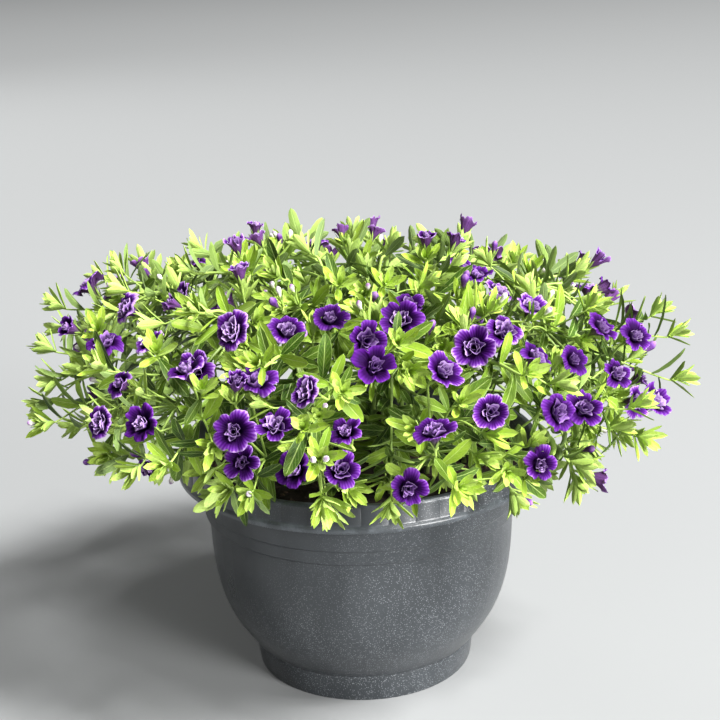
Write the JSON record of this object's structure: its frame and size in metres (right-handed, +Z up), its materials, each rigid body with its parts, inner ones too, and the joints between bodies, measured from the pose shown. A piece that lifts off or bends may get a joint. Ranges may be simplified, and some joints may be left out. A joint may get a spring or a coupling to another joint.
{
  "type": "potted calibrachoa",
  "caption": "Mounded calibrachoa with double violet flowers and narrow yellow-green leaves, growing in a rounded dark plastic patio pot filled with potting soil.",
  "frame": {"origin": "centre of the pot's foot, on the surface that it stands on", "axes": "+Z up along the pot's axis, -Y towards the side of the plant that was seen, +X to that side's right"},
  "size_m": [0.481, 0.4615, 0.3218],
  "materials": {
    "pot_plastic": "satin moulded plastic, charcoal with fine pale speckles",
    "potting_soil": "loose crumbly peat",
    "foliage": "soft, slightly sticky leaves and stems",
    "petals": "velvety violet with pale lavender edges and a dark throat"
  },
  "bodies": {
    "root": {"pot": "pot_plastic", "soil": "potting_soil", "outer_spray_01": "foliage", "outer_spray_02": "foliage", "outer_spray_03": "foliage", "outer_spray_04": "foliage", "outer_spray_05": "foliage", "outer_spray_06": "foliage", "outer_spray_07": "foliage", "outer_spray_08": "foliage", "outer_spray_09": "foliage", "outer_spray_10": "foliage", "outer_spray_11": "foliage", "outer_spray_12": "foliage", "inner_spray_01": "foliage", "inner_spray_02": "foliage", "inner_spray_03": "foliage", "inner_spray_04": "foliage", "inner_spray_05": "foliage", "inner_spray_06": "foliage", "inner_spray_07": "foliage", "inner_spray_08": "foliage", "bloom_01": "petals", "bloom_02": "petals", "bloom_03": "petals", "bloom_04": "petals", "bloom_05": "petals", "bloom_06": "petals", "bloom_07": "petals", "bloom_08": "petals", "bloom_09": "petals", "bloom_10": "petals", "bloom_11": "petals", "bloom_12": "petals", "bloom_13": "petals", "bloom_14": "petals", "bloom_15": "petals", "bloom_16": "petals", "bloom_17": "petals", "bloom_18": "petals", "bloom_19": "petals", "bloom_20": "petals", "bloom_21": "petals", "bloom_22": "petals", "bloom_23": "petals", "bloom_24": "petals", "bloom_25": "petals", "bloom_26": "petals", "bloom_27": "petals", "bloom_28": "petals", "bloom_29": "petals", "bloom_30": "petals", "bloom_31": "petals", "bloom_32": "petals", "bloom_33": "petals", "bloom_34": "petals", "bloom_35": "petals", "bloom_36": "petals", "bloom_37": "petals", "bloom_38": "petals"}
  },
  "joints": []
}
